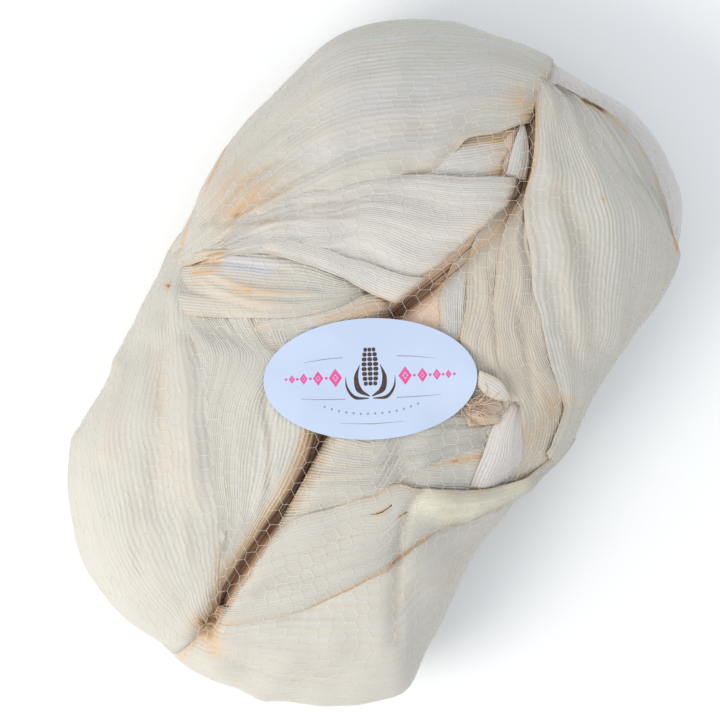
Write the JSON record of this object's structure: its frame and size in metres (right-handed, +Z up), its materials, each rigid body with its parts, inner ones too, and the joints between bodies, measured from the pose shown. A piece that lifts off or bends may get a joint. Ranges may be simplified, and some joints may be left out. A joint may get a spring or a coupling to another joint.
{
  "type": "netted pack of dried corn husks",
  "caption": "Netted pack of dried corn husks: nested stacks of pale broad husks in a fine net sleeve, with an oval paper label on top.",
  "frame": {"origin": "middle of the pack's box, on the surface it rests on", "axes": "+Y along the pack, +X across it, +Z up from the flat underside to the label"},
  "size_m": [0.2104, 0.3266, 0.0919],
  "materials": {
    "inner_husks": "matte, fibrous, tan to brown",
    "husk": "matte, fibrous, fine ribs along the husk",
    "label_paper": "smooth printed paper",
    "net_plastic": "pale soft plastic thread"
  },
  "bodies": {
    "root": {"stack_upper_left": "inner_husks", "stack_lower_left": "inner_husks", "stack_upper_right": "inner_husks", "stack_lower_right": "inner_husks", "husk_upper_left_inner": "husk", "husk_upper_left_fan": "husk", "husk_left_tan": "husk", "husk_centre_short": "husk", "husk_white_tip": "husk", "husk_middle": "husk", "husk_middle_fold": "husk", "husk_lower_left_curl": "husk", "husk_lower_left": "husk", "husk_upper_right": "husk", "husk_upper_right_end": "husk", "husk_upper_right_second": "husk", "husk_upper_right_third": "husk", "husk_crevice_strip": "husk", "husk_lower_right_inner": "husk", "husk_below_label": "husk", "husk_small_light": "husk", "husk_lower_right": "husk", "husk_right_lilac": "husk", "husk_bit_curled": "husk", "husk_bit_frayed": "husk", "underside_husk_left": "husk", "underside_husk_right": "husk", "underside_husk_middle": "husk", "label": "label_paper", "net_knot_upper": "net_plastic", "net_knot_lower": "net_plastic"}
  },
  "joints": []
}
